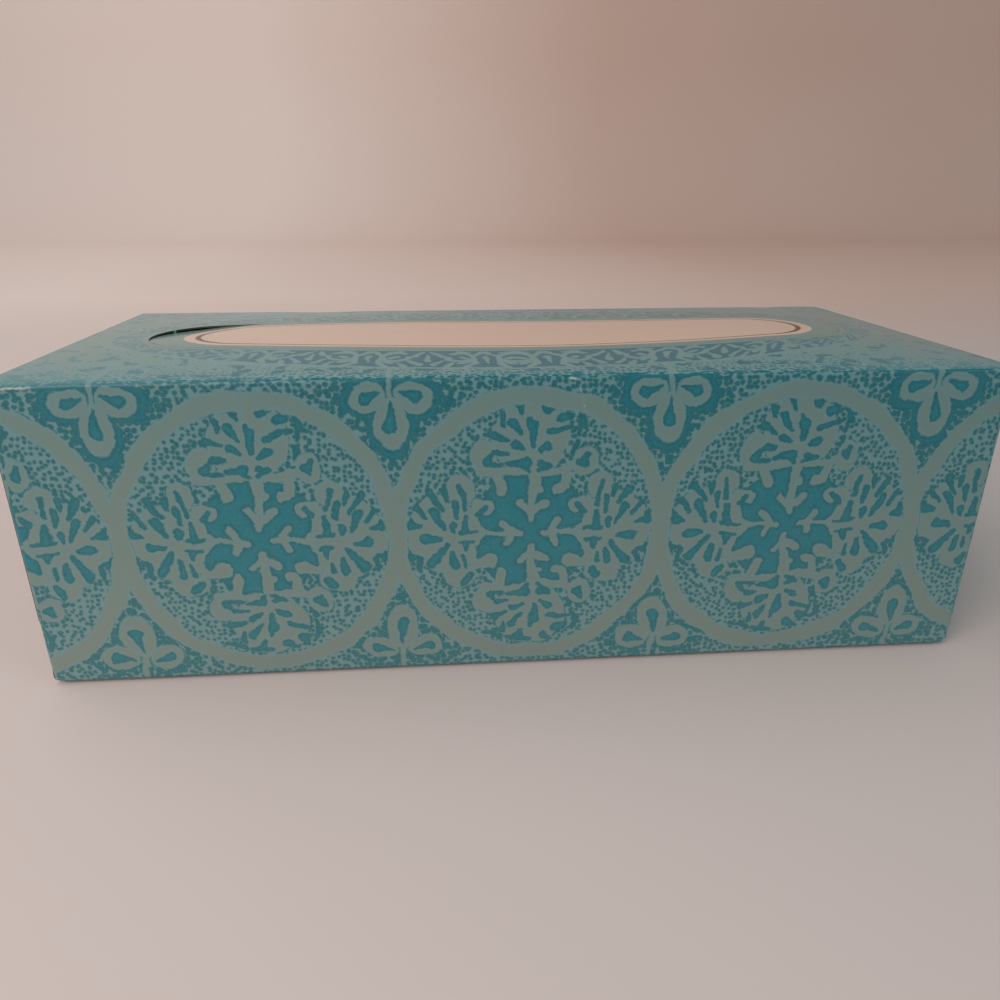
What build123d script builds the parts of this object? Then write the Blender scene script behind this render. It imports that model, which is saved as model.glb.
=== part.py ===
from build123d import *
import os
from math import asin, atan2, degrees, hypot

# Flat tissue carton: one creased and glued sheet of paperboard round a stack of interfolded tissues.
# X runs along the length, the printed front faces -Y, and the carton stands on Z = 0.

# Carton, outside sizes
LENGTH = 248.0
DEPTH = 112.0
HEIGHT = 80.0
BOARD = 0.5
CREASE_RADIUS = 1.2

# Long seam: a lap creased up from the bottom panel, glued inside the back panel
LAP_WIDTH = 15.0
SEAM_RAISE = 0.9

# End flaps, each measured from the outside of its crease to its free edge
TOP_FLAP = 62.0
BOTTOM_FLAP = 50.0
DUST_FLAP = 44.0
DUST_TAPER = 7.0
FLAP_ROOT = 2.0

# Tear-out panel: a long oval of four arcs, cut through between short ties
TEAR_LENGTH = 204.5
TEAR_WIDTH = 52.0
TEAR_END_RADIUS = 19.0
CUT_WIDTH = 0.35
TIE_WIDTH = 0.9
TIE_PITCH = 3.4

# Left end of the tear-out panel: its ties are torn and it is bent down into the carton
TONGUE_LENGTH = 31.0
TONGUE_DROP = 1.2

# Tissue stack
STACK_END_GAP = 2.0
STACK_SIDE_GAP = 1.5
STACK_HEADROOM = 1.0
STACK_FOLD_RADIUS = 5.0
TOP_LEAF = 0.6

crease = CREASE_RADIUS - BOARD / 2
outer_layer = LENGTH / 2 - BOARD / 2
middle_layer = outer_layer - BOARD
inner_layer = middle_layer - BOARD
tube_half = inner_layer - crease
flap_start = tube_half - FLAP_ROOT
wall = DEPTH / 2 - BOARD / 2
roof = HEIGHT - BOARD / 2
floor = BOARD / 2
flap_width = DEPTH - 2 * CREASE_RADIUS


def bent_board(*points):
    """Section of the sheet along a path of straight panels joined by creases."""
    return trace(FilletPolyline(*points, radius=crease), line_width=BOARD)


def tube():
    """The four panels and the glue lap, as one rolled section along the length."""
    lap_wall = wall - BOARD
    lap_edge = (lap_wall, LAP_WIDTH)
    lap_to_top = bent_board(lap_edge, (lap_wall, floor), (-wall, floor), (-wall, roof), (0, roof))
    top_to_seam = bent_board((0, roof), (wall, roof), (wall, SEAM_RAISE))
    return extrude(Plane.YZ * (lap_to_top + top_to_seam), amount=tube_half, both=True)


def cover_flap(level, layer, free_edge):
    """A top or bottom flap: the panel's end creased through a right angle to its free edge."""
    section = bent_board((flap_start, level), (layer, level), (layer, free_edge))
    return extrude(Plane.XZ * section, amount=flap_width / 2, both=True)


def dust_flap():
    """The front panel's end flap, folded in first, with its free corners cut back."""
    section = bent_board((flap_start, -wall), (inner_layer, -wall), (inner_layer, DUST_FLAP - DEPTH / 2))
    flap = extrude(section, amount=HEIGHT - CREASE_RADIUS)
    low = CREASE_RADIUS
    high = HEIGHT - CREASE_RADIUS
    free = DUST_FLAP - DEPTH / 2
    outline = Polygon(
        (-DEPTH / 2, low),
        (CREASE_RADIUS - DEPTH / 2, low),
        (free, low + DUST_TAPER),
        (free, high - DUST_TAPER),
        (CREASE_RADIUS - DEPTH / 2, high),
        (-DEPTH / 2, high),
        align=None,
    )
    return flap & extrude(Plane.YZ * outline, amount=LENGTH)


def closed_end():
    """The right end: dust flaps inside, then the bottom flap, then the top flap outside."""
    front = dust_flap()
    back = mirror(front, about=Plane.XZ)
    lower = cover_flap(floor, middle_layer, BOTTOM_FLAP)
    upper = cover_flap(roof, outer_layer, HEIGHT - TOP_FLAP)
    return [front, back, lower, upper]


def oval_line(grow):
    """Outline of four tangent arcs, `grow` outside the tear-out's cutting line."""
    tip = TEAR_LENGTH / 2 + grow
    side = TEAR_WIDTH / 2 + grow
    end_radius = TEAR_END_RADIUS + grow
    end_centre = tip - end_radius
    side_radius = (end_centre**2 + side**2 - end_radius**2) / (2 * (side - end_radius))
    reach = side_radius / hypot(end_centre, side_radius - side)
    x = reach * end_centre
    y = side - side_radius + reach * (side_radius - side)
    return Wire(
        [
            ThreePointArc((-x, -y), (-tip, 0), (-x, y)),
            ThreePointArc((-x, y), (0, side), (x, y)),
            ThreePointArc((x, y), (tip, 0), (x, -y)),
            ThreePointArc((x, -y), (0, -side), (-x, -y)),
        ]
    )


tongue_root = TONGUE_LENGTH - TEAR_LENGTH / 2
cut_outside = make_face(oval_line(CUT_WIDTH / 2))
cut_inside = make_face(oval_line(-CUT_WIDTH / 2))
tongue_side = Pos(tongue_root, 0) * Rectangle(LENGTH, DEPTH, align=(Align.MAX, Align.CENTER))


def perforation():
    """The cuts between the ties, and the whole tongue area, as one flat figure."""
    line = oval_line(0)
    count = round(line.length / TIE_PITCH)
    ties = []
    for index in range(count):
        place = line @ (index / count)
        along = line % (index / count)
        turn = degrees(atan2(along.Y, along.X))
        ties.append(Pos(place.X, place.Y) * Rot(0, 0, turn) * Rectangle(TIE_WIDTH, 2 * CUT_WIDTH))
    cuts = cut_outside - cut_inside - ties
    return cuts + (cut_outside & tongue_side)


def tongue():
    """The pressed-in end of the tear-out: the sheet bent down and level again along two equal arcs."""
    radius = (TONGUE_LENGTH**2 + TONGUE_DROP**2) / (4 * TONGUE_DROP)
    turn = degrees(asin(TONGUE_LENGTH / (2 * radius)))
    down = JernArc((tongue_root, roof), (-1, 0), radius, turn)
    level = JernArc(down @ 1, down % 1, radius, -turn)
    section = trace(down + level, line_width=BOARD)
    strip = extrude(Plane.XZ * section, amount=TEAR_WIDTH, both=True)
    return strip & extrude(cut_inside, amount=HEIGHT)


def carton():
    """The whole sheet: tube, both ends, perforated top and pressed-in tongue."""
    right_end = closed_end()
    left_end = [mirror(flap, about=Plane.YZ) for flap in right_end]
    through_top = extrude(Pos(0, 0, roof) * perforation(), amount=BOARD, both=True)
    sheet = tube() - through_top
    return sheet + right_end + left_end + tongue()


def tissue_stack():
    """Interfolded sheets: rounded folds along both long sides, and the top leaf's edge along the middle."""
    length = LENGTH - 6 * BOARD - 2 * STACK_END_GAP
    depth = DEPTH - 4 * BOARD - 2 * STACK_SIDE_GAP
    top = HEIGHT - BOARD - TONGUE_DROP - STACK_HEADROOM
    height = top - BOARD - TOP_LEAF
    body = Pos(0, BOARD + height / 2) * RectangleRounded(depth, height, STACK_FOLD_RADIUS)
    leaf_width = depth / 2 - STACK_FOLD_RADIUS
    leaf = Pos(0, BOARD + height) * Rectangle(leaf_width, TOP_LEAF, align=(Align.MIN, Align.MIN))
    return extrude(Plane.YZ * (body + leaf), amount=length / 2, both=True)


os.makedirs("parts", exist_ok=True)
for name, piece in {"carton": carton(), "tissue_stack": tissue_stack()}.items():
    export_step(piece, f"parts/{name}.step")
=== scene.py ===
# %% [markdown]
# # A flat tissue carton
# A tissue carton is one die-cut sheet of printed board, creased, folded and glued round a stack of
# interfolded tissues. The measured solids are loaded first and stay as they are. Everything below is
# worked out from their boxes, in millimetres, and turned into metres only when a mesh is written.

# %% Load the measured frame
import math
from functools import reduce

import bmesh
import bpy
import numpy as np
from mathutils import Matrix, Vector


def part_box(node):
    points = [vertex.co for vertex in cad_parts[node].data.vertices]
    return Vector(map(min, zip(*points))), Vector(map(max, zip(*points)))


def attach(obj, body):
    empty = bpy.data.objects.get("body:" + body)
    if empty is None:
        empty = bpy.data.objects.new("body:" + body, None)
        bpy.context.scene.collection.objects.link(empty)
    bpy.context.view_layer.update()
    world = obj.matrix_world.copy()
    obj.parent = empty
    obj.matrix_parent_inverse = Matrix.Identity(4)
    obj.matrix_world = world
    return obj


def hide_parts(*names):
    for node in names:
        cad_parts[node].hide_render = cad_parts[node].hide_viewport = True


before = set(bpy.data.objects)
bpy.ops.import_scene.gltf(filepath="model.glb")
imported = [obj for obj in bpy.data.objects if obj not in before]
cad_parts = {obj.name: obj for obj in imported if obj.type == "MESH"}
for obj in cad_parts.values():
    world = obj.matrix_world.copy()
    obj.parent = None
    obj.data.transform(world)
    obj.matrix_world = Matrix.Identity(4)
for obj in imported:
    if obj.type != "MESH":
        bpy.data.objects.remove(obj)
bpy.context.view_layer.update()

MM = 0.001


def node_box(node):
    """Lowest and highest corner of a measured solid, in millimetres."""
    low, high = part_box(node)
    return np.array(low) / MM, np.array(high) / MM


carton_low, carton_high = node_box("carton")
LENGTH, DEPTH, HEIGHT = np.round(carton_high - carton_low, 3)
print("carton", LENGTH, "x", DEPTH, "x", HEIGHT, "mm")

# %% [markdown]
# ## The sheet, panel by panel
# The real sheet bends only at its creases. One could fold a flat mesh with bones, but each panel is a
# plain grid, so it is simpler to lay the panels out directly. Every face of the carton gets a small
# frame of its own: a point to measure from, a direction to its right and one upwards, both as seen
# from outside. A patch is then given by how far right, how far up and how far out each point is.

# %% The six faces of the carton
HALF_LENGTH = LENGTH / 2
HALF_DEPTH = DEPTH / 2
FACES = {
    "front": ((0, -HALF_DEPTH, 0), (1, 0, 0), (0, 0, 1)),
    "right": ((HALF_LENGTH, 0, 0), (0, 1, 0), (0, 0, 1)),
    "back": ((0, HALF_DEPTH, 0), (-1, 0, 0), (0, 0, 1)),
    "left": ((-HALF_LENGTH, 0, 0), (0, -1, 0), (0, 0, 1)),
    "top": ((0, 0, HEIGHT), (1, 0, 0), (0, 1, 0)),
    "bottom": ((0, 0, 0), (1, 0, 0), (0, -1, 0)),
}
WALLS = ["front", "right", "back", "left"]


def on_face(face, right, up, out):
    """Points of a face: its base, plus `right` and `up` along the face and `out` along its normal."""
    base, right_way, up_way = (np.array(part, float) for part in FACES[face])
    out_way = np.cross(right_way, up_way)
    steps = np.stack(np.broadcast_arrays(right, up, out), -1)
    return base + steps @ np.stack([right_way, up_way, out_way])


print("faces", list(FACES))

# %% A crease is a quarter circle, shared by the two panels that meet there
LAYER = 0.5
CREASE = 1.2
CREASE_STEPS = 4


def bend(gap):
    """Half a crease, for a distance `gap` from the fold line.

    The turn still to make is an eighth of a circle at the fold and nothing at CREASE, so the place along
    the panel is CREASE (1 - sin turn) and the depth under its plane is CREASE (1 - cos turn).
    """
    turn = np.pi / 4 * np.clip(1 - gap / CREASE, 0, 1)
    along = np.where(gap < CREASE, CREASE * (1 - np.sin(turn)), gap)
    return along, CREASE * (1 - np.cos(turn))


def panel_bend(place, width):
    """A panel with a crease at both edges: the near crease in its first half, the far one in its second."""
    near, near_sunk = bend(place)
    far, far_sunk = bend(width - place)
    return np.where(place < width / 2, near, width - far), near_sunk + far_sunk


def panel_rows(width, steps):
    """Row places over a panel: close together over both creases and even between them."""
    crease = np.linspace(0, CREASE, CREASE_STEPS + 1)
    flat = np.linspace(CREASE, width - CREASE, steps + 1)
    return np.concatenate([crease[:-1], flat, width - crease[-2::-1]])


print("crease", CREASE, "mm on the outside, board", LAYER, "mm")

# %% A sheet gathers patches, with the place of each point on the printed blank
PRINT_SPAN = 500.0
PRINTS = ["front_print", "side_print", "cover_print", "plain_print", "raw_board_and_shade"]


def grid_quads(index):
    """The four point numbers of each cell of a grid, in turn round the cell."""
    return np.stack([index[:-1, :-1], index[1:, :-1], index[1:, 1:], index[:-1, 1:]], -1)


class Sheet:
    """Grid patches of one board: points, print places, distance to the nearest fold, and finish."""

    def __init__(self):
        self.points = []
        self.prints = []
        self.folds = []
        self.quads = []
        self.finishes = []
        self.count = 0

    def patch(self, face, right, up, out, print_at, fold, finish, keep=None):
        """Adds an (m, n) grid. It is turned so that its right-by-up area is positive and it faces out."""
        right, up, out, fold, *print_at = np.broadcast_arrays(right, up, out, fold, *print_at)
        index = self.count + np.arange(right.size).reshape(right.shape)
        quads = grid_quads(index)
        area = np.gradient(right, axis=0) * np.gradient(up, axis=1)
        area = area - np.gradient(right, axis=1) * np.gradient(up, axis=0)
        if area.sum() < 0:
            quads = quads[..., ::-1]
        quads = quads[keep] if keep is not None else quads.reshape(-1, 4)
        self.points.append(on_face(face, right, up, out).reshape(-1, 3))
        self.prints.append(np.stack(print_at, -1).reshape(-1, 2))
        self.folds.append(fold.ravel())
        self.quads.append(quads)
        self.finishes.append(np.full(len(quads), PRINTS.index(finish)))
        self.count += right.size


sheet = Sheet()
print("finishes", PRINTS)

# %% [markdown]
# ## The top panel and its tear-out
# The tear-out is a long oval of four tangent arcs, cut through between short ties. A cut could be made
# with a boolean, but then the panel could not bend. Here the panel is a grid that runs round the oval
# and out to the panel's edges, so one row of its faces is the cutting line, and leaving out every other
# face of that row makes the perforation. The left end is torn loose and pressed in.

# %% The tear-out oval, by the direction it faces
TEAR_LENGTH = 204.5
TEAR_WIDTH = 52.0
TEAR_END_RADIUS = 19.0


def four_arcs(length, width, end_radius):
    """Centres and radii of an oval: end arcs on the long axis and side arcs that touch them."""
    end_centre = length / 2 - end_radius
    half = width / 2
    side_radius = (end_centre**2 + half**2 - end_radius**2) / (2 * (half - end_radius))
    side_centre = side_radius - half
    return end_centre, side_centre, side_radius, math.atan2(side_centre, end_centre)


end_centre, side_centre, side_radius, lean = four_arcs(TEAR_LENGTH, TEAR_WIDTH, TEAR_END_RADIUS)


def oval(turn):
    """Point where the oval faces `turn`: arc centre plus arc radius along that direction.

    The end arcs take the directions within `lean` of the long axis, and the side arcs take the rest.
    """
    facing = np.stack([np.cos(turn), np.sin(turn)], -1)
    on_end = (np.abs(facing[:, :1]) > math.cos(lean)).astype(float)
    centres = np.sign(facing) * [end_centre, -side_centre] * np.concatenate([on_end, 1 - on_end], 1)
    radius = np.where(on_end > 0, TEAR_END_RADIUS, side_radius)
    return centres + radius * facing, facing


print("side arcs of the tear-out", round(side_radius, 1), "mm in radius")

# %% Columns round the oval: even steps between the four panel corners
TIE_STEP = 0.85
tube_half = HALF_LENGTH - 2 * LAYER - CREASE
flat_half = HALF_DEPTH - CREASE
knots = np.array([-lean, lean, math.pi - lean, math.pi + lean, 2 * math.pi - lean, 2 * math.pi + lean])
arc_radii = np.array([TEAR_END_RADIUS, side_radius, TEAR_END_RADIUS, side_radius, TEAR_END_RADIUS])
lengths = np.concatenate([[0], np.cumsum(arc_radii * np.diff(knots))])
corner_turns = np.array([-1, 1, -1, 1, -1]) * lean / 2 + np.array([0, 0, 1, 1, 2]) * math.pi
corner_at = np.interp(corner_turns, knots, lengths)
end_count = 2 * round((corner_at[1] - corner_at[0]) / TIE_STEP / 2)
side_count = 2 * round((corner_at[2] - corner_at[1]) / TIE_STEP / 2)
counts = [end_count, side_count, end_count, side_count]


def round_trip(stops):
    """Even steps from each stop to the next, one for each column on that edge, and the last stop."""
    runs = [np.linspace(a, b, n, endpoint=False) for a, b, n in zip(stops[:-1], stops[1:], counts)]
    return np.concatenate([*runs, stops[-1:]])


column_turn = np.interp(round_trip(corner_at), lengths, knots)
cut_line, cut_facing = oval(column_turn)
rim_x = round_trip(np.array([tube_half, tube_half, -tube_half, -tube_half, tube_half]))
rim_y = round_trip(np.array([-flat_half, flat_half, flat_half, -flat_half, -flat_half]))
print("columns round the tear-out", len(column_turn), "cut line", round(lengths[4], 1), "mm")

# %% Rows from the middle line out to the cut, across it, and on to the panel's edge
CUT_WIDTH = 0.16
INSIDE_ROWS = 9
OUTSIDE_ROWS = 12
spine = np.stack([np.clip(cut_line[:, 0], -end_centre, end_centre), 0 * cut_line[:, 0]], -1)
inner_edge = cut_line - CUT_WIDTH / 2 * cut_facing
outer_edge = cut_line + CUT_WIDTH / 2 * cut_facing
rim = np.stack([rim_x, rim_y], -1)


def rows_between(start, stop, steps):
    """Straight rows from one closed line to another."""
    share = np.linspace(0, 1, steps)[None, :, None]
    return start[:, None] * (1 - share) + stop[:, None] * share


inside = rows_between(spine, inner_edge, INSIDE_ROWS)
outside = rows_between(outer_edge, rim, OUTSIDE_ROWS)
cover = np.concatenate([inside, outside], 1)
cover_x, cover_y = cover[..., 0], cover[..., 1]
print("columns and rows of the top", cover.shape[:2])

# %% The panel's swell, the pressed-in tongue and the torn ties
SWELL = 1.2
SWELL_POWER = 8
# Each wave: its height, the place of its crest along the length, and its reach.
SWELL_WAVES = [(-0.5, 10.0, 35.0), (0.95, 90.0, 30.0)]
TONGUE_LENGTH = 31.0
TONGUE_DROP = 1.15
TONGUE_FRONT = 0.4
TONGUE_TWIST = 28.0
LAST_TIE_X = -98.8
tongue_root = TONGUE_LENGTH - TEAR_LENGTH / 2


def swell(x, y):
    """Lift of the filled carton's top: a level part and two waves, down to nothing at the rim.

    Across the depth it falls as a parabola, and along the length as a high power of the share of the half.
    """
    along = SWELL + sum(high * np.exp(-(((x - crest) / reach) ** 2)) for high, crest, reach in SWELL_WAVES)
    return along * (1 - (x / tube_half) ** SWELL_POWER) * (1 - (y / flat_half) ** 2)


def tongue_drop(x, y):
    """Depth of the pressed-in end: half a cosine wave from its root to its tip, deeper towards the back."""
    share = np.clip((tongue_root - x) / TONGUE_LENGTH, 0, 1)
    return TONGUE_DROP * np.clip(TONGUE_FRONT + y / TONGUE_TWIST, 0, 1) * (1 - np.cos(np.pi * share)) / 2


in_tear_out = np.arange(cover.shape[1]) < INSIDE_ROWS
lift = swell(cover_x, cover_y) - np.where(in_tear_out, tongue_drop(cover_x, cover_y), 0)
keep = np.ones((cover.shape[0] - 1, cover.shape[1] - 1), bool)
column = np.arange(cover.shape[0] - 1)
torn = cut_line[:-1, 0] < tongue_root
last_tie = np.argmin(np.abs(cut_line[:-1, 0] - LAST_TIE_X) + HALF_DEPTH * (cut_line[:-1, 1] < 0))
keep[:, INSIDE_ROWS - 1] = ((column % 2 == 0) & ~torn) | (column == last_tie)


def edge_gap(x, y):
    """Distance from a point of the top panel to the nearest fold."""
    return np.minimum(HALF_LENGTH - np.abs(x), HALF_DEPTH - np.abs(y))


gap = edge_gap(cover_x, cover_y)
sheet.patch("top", cover_x, cover_y, lift, (cover_x, cover_y), gap, "cover_print", keep)
print("ties left", int(keep[:, INSIDE_ROWS - 1].sum()), "highest swell", round(float(lift.max()), 2), "mm")

# %% [markdown]
# ## Front, back and bottom
# The sheet goes on over the long creases. The back panel ends in a raw edge just above the table, over
# the glue lap that comes up from the bottom panel, one board further in. All these panels share their
# columns with the top, so their edges meet point to point and can be merged.

# %% The long panels and the glue lap
LAP_WIDTH = 15.0
SEAM_RAISE = 0.9
WALL_ROWS = 12
BULGE = 0.35
columns = np.linspace(-tube_half, tube_half, side_count + 1)[:, None]
wall_rows = panel_rows(HEIGHT, WALL_ROWS)
half_rows = np.linspace(CREASE, 0, CREASE_STEPS + 1)[None]
half_along, half_sunk = bend(half_rows)


def bulge(right, half_width, up):
    """Slight outward push of the tissues on a wall: the product of two parabolas."""
    return BULGE * (1 - (right / half_width) ** 2) * 4 * (up / HEIGHT) * (1 - up / HEIGHT)


def wall(face, finish, rows):
    """A front or back wall: creased at the top, and at the bottom too unless its rows start above it."""
    up, sunk = panel_bend(rows[None], HEIGHT)
    sunk = np.where(rows < CREASE, 0, sunk) if rows[0] > 0 else sunk
    up = np.where(rows < CREASE, rows, up) if rows[0] > 0 else up
    out = bulge(columns, tube_half, up) - sunk
    gap = np.minimum(np.minimum(rows, HEIGHT - rows), HALF_LENGTH - np.abs(columns))
    sheet.patch(face, columns, up, out, (columns, rows[None]), gap, finish)


back_rows = np.concatenate([[SEAM_RAISE], wall_rows[CREASE_STEPS:]])
wall("front", "front_print", wall_rows)
wall("back", "side_print", back_rows)
for side in (-1, 1):
    strip_print = (columns, side * (HALF_DEPTH - half_rows))
    strip_up = side * (HALF_DEPTH - half_along)
    sheet.patch("top", columns, strip_up, -half_sunk, strip_print, half_rows, "cover_print")

bottom_width = DEPTH - LAYER
bottom_rows = panel_rows(bottom_width, WALL_ROWS)[None]
bottom_up, bottom_sunk = panel_bend(bottom_rows, bottom_width)
bottom_up = HALF_DEPTH - bottom_up
bottom_gap = np.minimum(bottom_rows, bottom_width - bottom_rows)
bottom_print = (columns, HALF_DEPTH - bottom_rows)
sheet.patch("bottom", columns, bottom_up, -bottom_sunk, bottom_print, bottom_gap, "plain_print")
lap_rows = np.concatenate([np.linspace(0, CREASE, CREASE_STEPS + 1), [LAP_WIDTH]])[None]
lap_up, lap_sunk = bend(lap_rows)
sheet.patch("back", columns, lap_up, -LAYER - lap_sunk, (columns, lap_rows), lap_rows, "plain_print")
print("points so far", sheet.count)

# %% [markdown]
# ## The end flaps
# Each end is closed by four flaps. The two dust flaps of the front and back are folded in first, then the
# bottom flap, then the top flap, which shows. So each pair lies one board further in than the last, and
# the step of the top flap's free edge over the bottom flap shows on the outside.

# %% Dust flaps, bottom flap and top flap
TOP_FLAP = 62.0
BOTTOM_FLAP = 50.0
DUST_FLAP = 44.0
DUST_TAPER = 7.0
FLAP_INSET = 1.2
FLAP_EASE = 6.0
FLAP_ROWS = 8


def flap_rows(size):
    """Places from the fold line to the free edge of a flap: its half crease, then even rows."""
    crease = np.linspace(0, CREASE, CREASE_STEPS + 1)
    return np.concatenate([crease[:-1], np.linspace(CREASE, size, FLAP_ROWS + 1)])


def dust_flap(wall_at, side):
    """Folds the end of a front or back wall round the corner, tapering above and below to its free edge."""
    rows = wall_rows[CREASE_STEPS : len(wall_rows) - CREASE_STEPS][None]
    depth = 2 * LAYER
    place = HALF_LENGTH - depth - half_along.T
    wall_print = (side * (HALF_LENGTH - half_rows.T), rows)
    finish = "front_print" if WALLS[wall_at] == "front" else "side_print"
    sheet.patch(WALLS[wall_at], side * place, rows, -half_sunk.T, wall_print, half_rows.T, finish)
    reach = flap_rows(DUST_FLAP)[:, None]
    along, sunk = bend(reach)
    share = np.clip((reach - CREASE) / (DUST_FLAP - CREASE), 0, 1)
    middle = HEIGHT / 2
    up = middle + (rows - middle) * (1 - share * DUST_TAPER / (middle - CREASE))
    neighbour = WALLS[(wall_at + side) % len(WALLS)]
    right = -side * (HALF_DEPTH - along)
    sheet.patch(neighbour, right, up, -depth - sunk, (right, up), reach, "plain_print")


def end_flap(side, panel, across, depth, size):
    """Folds the end of the top or bottom panel down or up over the carton's end."""
    upwards = 1 if panel == "bottom" else -1
    base = 0 if panel == "bottom" else HEIGHT
    reach = flap_rows(size)[:, None]
    along, sunk = bend(reach)
    up_on_panel = across if panel == "top" else -across
    root = np.concatenate([[tube_half], HALF_LENGTH - depth - half_along[0]])[:, None]
    root_sunk = np.concatenate([[0], half_sunk[0]])[:, None]
    root_gap = np.concatenate([[HALF_LENGTH - tube_half], half_rows[0]])[:, None]
    finish = "cover_print" if panel == "top" else "plain_print"
    root_print = (side * (HALF_LENGTH - root_gap), up_on_panel)
    sheet.patch(panel, side * root, up_on_panel, -root_sunk, root_print, root_gap, finish)
    end = "right" if side > 0 else "left"
    inset = FLAP_INSET * np.clip((reach - CREASE) / FLAP_EASE, 0, 1)
    right = side * across * (1 - inset / flat_half)
    up = base + upwards * along
    sheet.patch(end, right, up, -depth - sunk, (right, base + upwards * reach), reach, "side_print")


cover_across = np.linspace(-flat_half, flat_half, end_count + 1)[None]
bottom_across = -bottom_up[:, CREASE_STEPS : bottom_up.shape[1] - CREASE_STEPS]
for side in (-1, 1):
    dust_flap(WALLS.index("front"), side)
    dust_flap(WALLS.index("back"), side)
    end_flap(side, "bottom", bottom_across, LAYER, BOTTOM_FLAP)
    end_flap(side, "top", cover_across, 0, TOP_FLAP)
print("points in the sheet", sheet.count)

# %% [markdown]
# ## Knocks, then thickness
# The load bows the bottom, so its long edges stand just clear of the table and leave a dark line there.
# Corners of a carton that has been shelved get blunted: each knock pushes the points near one place by a
# bell-shaped amount. Then the patches become one mesh, their shared edges are merged, and Solidify gives
# the sheet its thickness towards the inside, with bare board on the inner side and on every cut edge.

# %% Knocks as bell-shaped pushes
# Each knock: the place on the carton, the push, and the reach, in millimetres.
KNOCKS = [
    ((-HALF_LENGTH, -HALF_DEPTH, 0), (0.3, 0.2, 0.2), 3.0),
    ((HALF_LENGTH, -HALF_DEPTH, 0), (-0.4, 0.3, 0.2), 3.0),
    ((HALF_LENGTH, HALF_DEPTH, HEIGHT), (-0.2, -0.2, -0.2), 3.0),
    ((103.0, HALF_DEPTH, HEIGHT), (0, -0.2, -0.15), 4.0),
    ((12.0, -HALF_DEPTH, HEIGHT), (0, 0.4, -0.4), 3.0),
    ((-115.0, -HALF_DEPTH, HEIGHT), (0, 0.4, -0.3), 6.0),
    ((-60.0, HALF_DEPTH, HEIGHT), (0, -0.3, -0.25), 9.0),
]
BOW = 0.7
BOW_POWER = 6
BOW_REACH = 6.0


def bowed(points):
    """Lifts the long bottom edges by a high power of the share of the half depth, fading with height."""
    share = np.abs(points[:, 1]) / HALF_DEPTH
    lift = BOW * share**BOW_POWER * np.exp(-points[:, 2] / BOW_REACH)
    return points + lift[:, None] * [0, 0, 1]


def knocked(points):
    """Adds each push times exp(-(distance / reach) squared)."""
    for place, push, reach in KNOCKS:
        away = np.linalg.norm(points - np.array(place), axis=1)
        points = points + np.exp(-((away / reach) ** 2))[:, None] * np.array(push)
    return points


print("knocks", len(KNOCKS))

# %% One mesh from all patches
MERGE = 0.02
BOARD = 0.47
SHARP = math.radians(40)


def write_mesh(name, points, quads):
    """A mesh object at the origin from millimetre points."""
    mesh = bpy.data.meshes.new(name)
    mesh.from_pydata((points * MM).tolist(), [], quads.tolist())
    piece = bpy.data.objects.new(name, mesh)
    bpy.context.scene.collection.objects.link(piece)
    return piece


def merge_doubles(mesh):
    """Joins points that lie on each other, so patches become one sheet and poles close."""
    work = bmesh.new()
    work.from_mesh(mesh)
    bmesh.ops.remove_doubles(work, verts=work.verts, dist=MERGE * MM)
    bmesh.ops.dissolve_degenerate(work, edges=work.edges, dist=MERGE * MM / 10)
    open_edges = sum(edge.is_boundary for edge in work.edges)
    work.to_mesh(mesh)
    work.free()
    return open_edges


points = knocked(bowed(np.concatenate(sheet.points)))
board = write_mesh("carton_board", points, np.concatenate(sheet.quads))
corner_points = np.empty(len(board.data.loops), np.int32)
board.data.loops.foreach_get("vertex_index", corner_points)
places = np.concatenate(sheet.prints)[corner_points] / PRINT_SPAN + 0.5
board.data.uv_layers.new(name="blank").data.foreach_set("uv", places.ravel().astype(np.float32))
folds = board.data.attributes.new("fold_gap", "FLOAT", "POINT")
folds.data.foreach_set("value", np.concatenate(sheet.folds).astype(np.float32))
board.data.polygons.foreach_set("material_index", np.concatenate(sheet.finishes).astype(np.int32))
print("open edges", merge_doubles(board.data), "points", len(board.data.vertices))

# %% Thickness, applied so that the cut edges can be marked sharp
def apply_modifiers(piece):
    """Puts the finished mesh of a piece in place of its plain one."""
    depsgraph = bpy.context.evaluated_depsgraph_get()
    done = piece.evaluated_get(depsgraph)
    mesh = bpy.data.meshes.new_from_object(done, preserve_all_data_layers=True, depsgraph=depsgraph)
    piece.modifiers.clear()
    piece.data = mesh
    mesh.shade_smooth()
    mesh.set_sharp_from_angle(angle=SHARP)


for finish in PRINTS:
    board.data.materials.append(bpy.data.materials.new(finish))
thickness = board.modifiers.new("thickness", "SOLIDIFY")
thickness.thickness = BOARD * MM
thickness.offset = -1
thickness.use_even_offset = True
thickness.material_offset = len(PRINTS)
thickness.material_offset_rim = len(PRINTS)
apply_modifiers(board)
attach(board, "root")
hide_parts("carton")
print("board faces", len(board.data.polygons))

# %% [markdown]
# ## The tissues
# Only a sliver of them shows, through the torn end. The stack is a rounded bar: its long sides are rows
# of soft folds and its ends are the cut edges. It is one closed grid, a rounded rectangle carried along
# the length, drawn in to a point in the middle of each end.

# %% A rounded section with fold ridges, carried along the length
stack_low, stack_high = node_box("tissue_stack")
STACK_FOLD_RADIUS = 5.0
FOLD_PITCH = 2.4
FOLD_DEPTH = 0.5
TOP_LEAF = 0.6
LEAF_FACING = 0.9
SECTION_POINTS = 480
CAP_ROWS = 6
STACK_ROWS = 14
stack_half = (stack_high - stack_low) / 2
stack_middle = (stack_high + stack_low) / 2
body_half = stack_half - [0, 0, TOP_LEAF / 2]


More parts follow.
